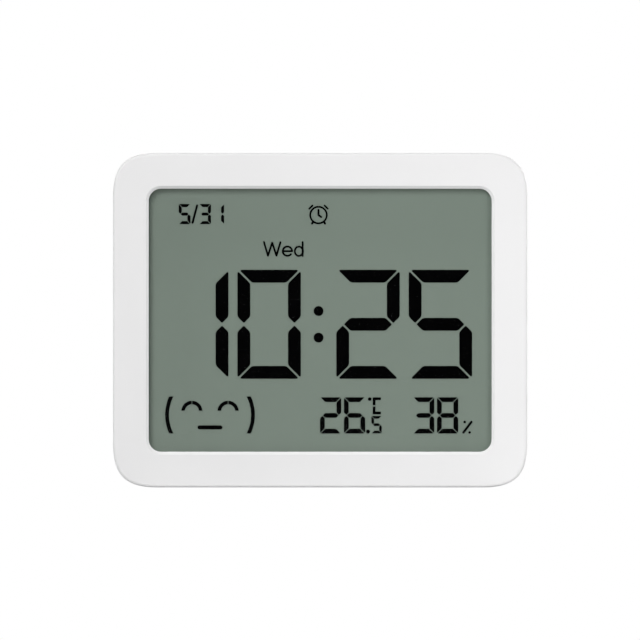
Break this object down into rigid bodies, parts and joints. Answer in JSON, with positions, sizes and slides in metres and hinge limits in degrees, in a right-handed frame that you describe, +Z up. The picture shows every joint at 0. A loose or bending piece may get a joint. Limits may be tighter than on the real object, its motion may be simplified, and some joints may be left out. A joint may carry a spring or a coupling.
{
  "type": "thermometer hygrometer clock",
  "caption": "White desk clock with a grey-green segment display of time, date, temperature and humidity, a fold-out stand, rear buttons and a battery door.",
  "frame": {"origin": "middle of the flat underside, at mid-depth of the case", "axes": "+X to the right as seen from the front, +Y to the back, +Z up; the display faces -Y"},
  "size_m": [0.1, 0.0228, 0.0807],
  "materials": {
    "case_plastic": "fine satin white ABS",
    "button_plastic": "smooth light grey",
    "clear_lens": "clear polished acrylic sheet",
    "adhesive_tape": "black double-sided foam tape",
    "polariser_film": "thin grey-green film",
    "display_glass": "clear float glass",
    "cell_seal": "printed resin seal",
    "reflector_film": "grey-green diffusing reflector",
    "display_ink": "black liquid crystal segment",
    "holder_plastic": "moulded grey",
    "connector_rubber": "pink elastomer with a carbon core",
    "board_laminate": "green solder mask over glass laminate",
    "potting": "black epoxy drop",
    "crystal_can": "drawn metal can",
    "component_ceramic": "sintered ceramic",
    "switch_plastic": "black switch housing",
    "plunger_plastic": "grey plunger",
    "sensor_plastic": "black sensor package",
    "seal_foam": "soft grey foam",
    "sounder_brass": "thin brass plate",
    "sounder_ceramic": "silvered ceramic disc",
    "red_lead": "red insulation",
    "black_lead": "black insulation",
    "battery_steel": "nickel-plated steel",
    "battery_sleeve": "printed shrink sleeve",
    "contact_metal": "nickel-plated spring steel",
    "pad_rubber": "grey rubber",
    "screw_steel": "zinc-plated steel"
  },
  "bodies": {
    "case": {"front_bezel": "case_plastic", "rear_housing": "case_plastic", "display_lens": "clear_lens", "lens_adhesive": "adhesive_tape", "lcd_front_polariser": "polariser_film", "lcd_front_glass": "display_glass", "lcd_rear_glass": "display_glass", "lcd_seal": "cell_seal", "lcd_reflector": "reflector_film", "time_digits": "display_ink", "time_colon": "display_ink", "date_digits": "display_ink", "weekday_label": "display_ink", "alarm_icon": "display_ink", "comfort_face": "display_ink", "temperature_digits": "display_ink", "humidity_digits": "display_ink", "lcd_holder": "holder_plastic", "lcd_connector": "connector_rubber", "main_board": "board_laminate", "controller_chip": "potting", "clock_crystal": "crystal_can", "small_components": "component_ceramic", "switch_body_set": "switch_plastic", "switch_body_plus": "switch_plastic", "switch_body_minus": "switch_plastic", "humidity_sensor": "sensor_plastic", "sensor_seal": "seal_foam", "sounder_plate": "sounder_brass", "sounder_ceramic": "sounder_ceramic", "sounder_lead_plate": "red_lead", "sounder_lead_ceramic": "black_lead", "battery_1_can": "battery_steel", "battery_2_can": "battery_steel", "battery_1_jacket": "battery_sleeve", "battery_2_jacket": "battery_sleeve", "contact_plus": "contact_metal", "contact_minus": "contact_metal", "contact_bridge": "contact_metal", "contact_spring_1": "contact_metal", "contact_spring_2": "contact_metal", "housing_screws": "screw_steel", "holder_screws": "screw_steel", "board_screws": "screw_steel"},
    "stand": {"stand_leg": "case_plastic", "stand_pad": "pad_rubber"},
    "door": {"battery_door": "case_plastic"},
    "set_key": {"button_set": "button_plastic", "switch_plunger_set": "plunger_plastic"},
    "plus_key": {"button_plus": "button_plastic", "switch_plunger_plus": "plunger_plastic"},
    "minus_key": {"button_minus": "button_plastic", "switch_plunger_minus": "plunger_plastic"}
  },
  "joints": [
    {"name": "stand_fold", "type": "hinge", "parent": "case", "child": "stand", "pos_m": [0, 0.0095, 0.05], "axis": [1, 0, 0], "range_deg": [0, 35]},
    {"name": "door_open", "type": "hinge", "parent": "case", "child": "door", "pos_m": [-0.02975, 0.011, 0.0133], "axis": [-1, 0, 0], "range_deg": [0, 80]},
    {"name": "set_press", "type": "slide", "parent": "case", "child": "set_key", "axis": [0, -1, 0], "range_m": [0, 0.0005], "stiffness_N_per_m": 1500},
    {"name": "plus_press", "type": "slide", "parent": "case", "child": "plus_key", "axis": [0, -1, 0], "range_m": [0, 0.0005], "stiffness_N_per_m": 1500},
    {"name": "minus_press", "type": "slide", "parent": "case", "child": "minus_key", "axis": [0, -1, 0], "range_m": [0, 0.0005], "stiffness_N_per_m": 1500}
  ]
}
